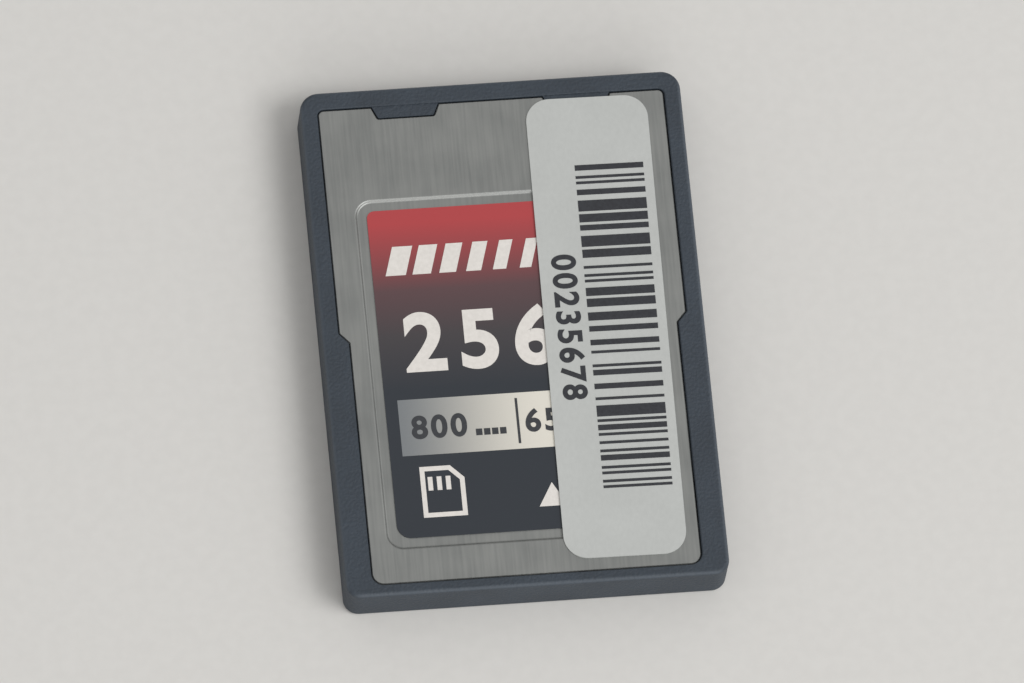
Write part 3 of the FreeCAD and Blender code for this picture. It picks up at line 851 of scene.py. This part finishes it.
def sticker_paper():
    finish = Finish("sticker_paper", Metallic=0.0)
    fibre = finish.grain(FIBRE_GRAINS, detail=5.0, stretch=FIBRE_STRETCH)
    cloud = finish.grain(CLOUD_GRAINS)
    finish.feed("Base Color", finish.blend(PAPER_SHADE, PAPER, (fibre + cloud) / 2))
    finish.feed("Roughness", PAPER_ROUGHNESS + FIBRE_ROUGHENS * fibre)
    finish.relief(fibre, FIBRE_DEPTH)
    return finish


dress(sticker_paper(), "barcode_sticker")
print("sticker dressed")

# %% [markdown]
# ## Bars on the sticker
#
# A bar code is a row of dark bars, each a few modules wide, with gaps of a few modules between them. Most
# bars and gaps are thin, so each width is the smaller of two random draws from a fixed seed. The tree adds
# the widths up along the row with Accumulate Field, and scales the whole so that it fills its length. The
# pattern stands for no real number.

# %% Bar tree
MOST_MODULES = 4


def thin_mostly(tree, seed):
    """A width in modules, thin ones the most often: the smaller of two draws."""
    first, second = (tree.add("FunctionNodeRandomValue", {"data_type": "INT"},
                              {"Min": 1, "Max": MOST_MODULES, "Seed": draw_seed}, "Value")
                     for draw_seed in (seed, seed + 1))
    return first.smaller(second)


def bar_tree():
    tree = Growth("bar_code", {"Bars": "Int", "Length": "Float", "Bar Length": "Float", "Seed": "Int",
                               "Ink": "Float", "Finish": "Material"})
    seed = tree.given("Seed")
    index = tree.add("GeometryNodeInputIndex")
    bar = thin_mostly(tree, seed)
    gap = thin_mostly(tree, seed + 2)
    # No gap stands before the first bar, whose index is 0
    lead = gap * index.smaller(1)
    step = {"Value": lead + bar}
    reached = tree.add("GeometryNodeAccumulateField", {"data_type": "FLOAT"}, step, "Leading")
    total = tree.add("GeometryNodeAccumulateField", {"data_type": "FLOAT"}, step, "Total")
    module = tree.given("Length") / total
    along = (reached - bar / 2) * module - tree.given("Length") / 2
    points = tree.add("GeometryNodeMeshLine", inputs={"Count": tree.given("Bars"), "Offset": (0, 0, 0)})
    set_along = {"Geometry": points, "Position": tree.vector(y=along)}
    places = tree.add("GeometryNodeSetPosition", inputs=set_along)
    block = tree.add("GeometryNodeMeshCube", inputs={"Size": (1, 1, 1)})
    size = tree.vector(tree.given("Bar Length"), bar * module, tree.given("Ink"))
    on_places = {"Points": places, "Instance": block, "Scale": size}
    tree.end(tree.add("GeometryNodeInstanceOnPoints", inputs=on_places))
    return tree


bar_code = bar_tree()
print("bar tree nodes:", len(bar_code.tree.nodes))

# %% [markdown]
# ## The code in its place
#
# The code is printed by heat, in a soft black with little gloss. The sticker lies a little askew, and its
# print with it, so places are measured from the sticker's middle and turned as it is.

# %% Bar code
STICKER_TURN = math.radians(-0.6)
CODE_BARS = 33
CODE_LENGTH = 17.95
CODE_ACROSS = 0.92
BAR_LENGTH = 3.6
CODE_SEED = 30

sticker_low, sticker_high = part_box("barcode_sticker")
sticker_centre = (sticker_low + sticker_high) / 2


def on_sticker(across_mm, along_mm):
    """A place on the sticker, measured from its middle and turned with it."""
    middle = Matrix.Translation((sticker_centre.x, sticker_centre.y, ink_level(sticker_high.z)))
    turned = middle @ Matrix.Rotation(STICKER_TURN, 4, "Z")
    return turned @ Matrix.Translation((across_mm * MM, along_mm * MM, 0))


thermal_black = plain_finish("thermal_black", "33353a", "27282d", roughness=0.6, grains=7.0, depth_mm=0.0012)
bar_sizes = {"Bars": CODE_BARS, "Length": CODE_LENGTH * MM, "Bar Length": BAR_LENGTH * MM, "Seed": CODE_SEED}
bars = bar_code.grow("sticker_bars", bar_sizes, thermal_black)
print_piece("sticker_bars", bars, on_sticker(CODE_ACROSS, 0))

# %% [markdown]
# ## Figures on the sticker
#
# Beside the bars runs a row of plain figures that reads from the leading end to the tail. The text is made
# upright like the others, and a quarter turn clockwise is part of its place.

# %% Sticker figures
CODE_FIGURES = "00235678"
CODE_FIGURE_HEIGHT = 1.35
CODE_FIGURE_ACROSS = -2.58
CODE_FIGURE_START = 4.05
CODE_FIGURE_SPACING = 1.19
quarter_turn = Matrix.Rotation(math.radians(-90), 4, "Z")
figures = ink_figures("sticker_figures", CODE_FIGURES, CODE_FIGURE_HEIGHT, CODE_FIGURE_SPACING,
                      thermal_black)
code_place = on_sticker(CODE_FIGURE_ACROSS, CODE_FIGURE_START) @ quarter_turn
print_piece("sticker_figures", figures, code_place)
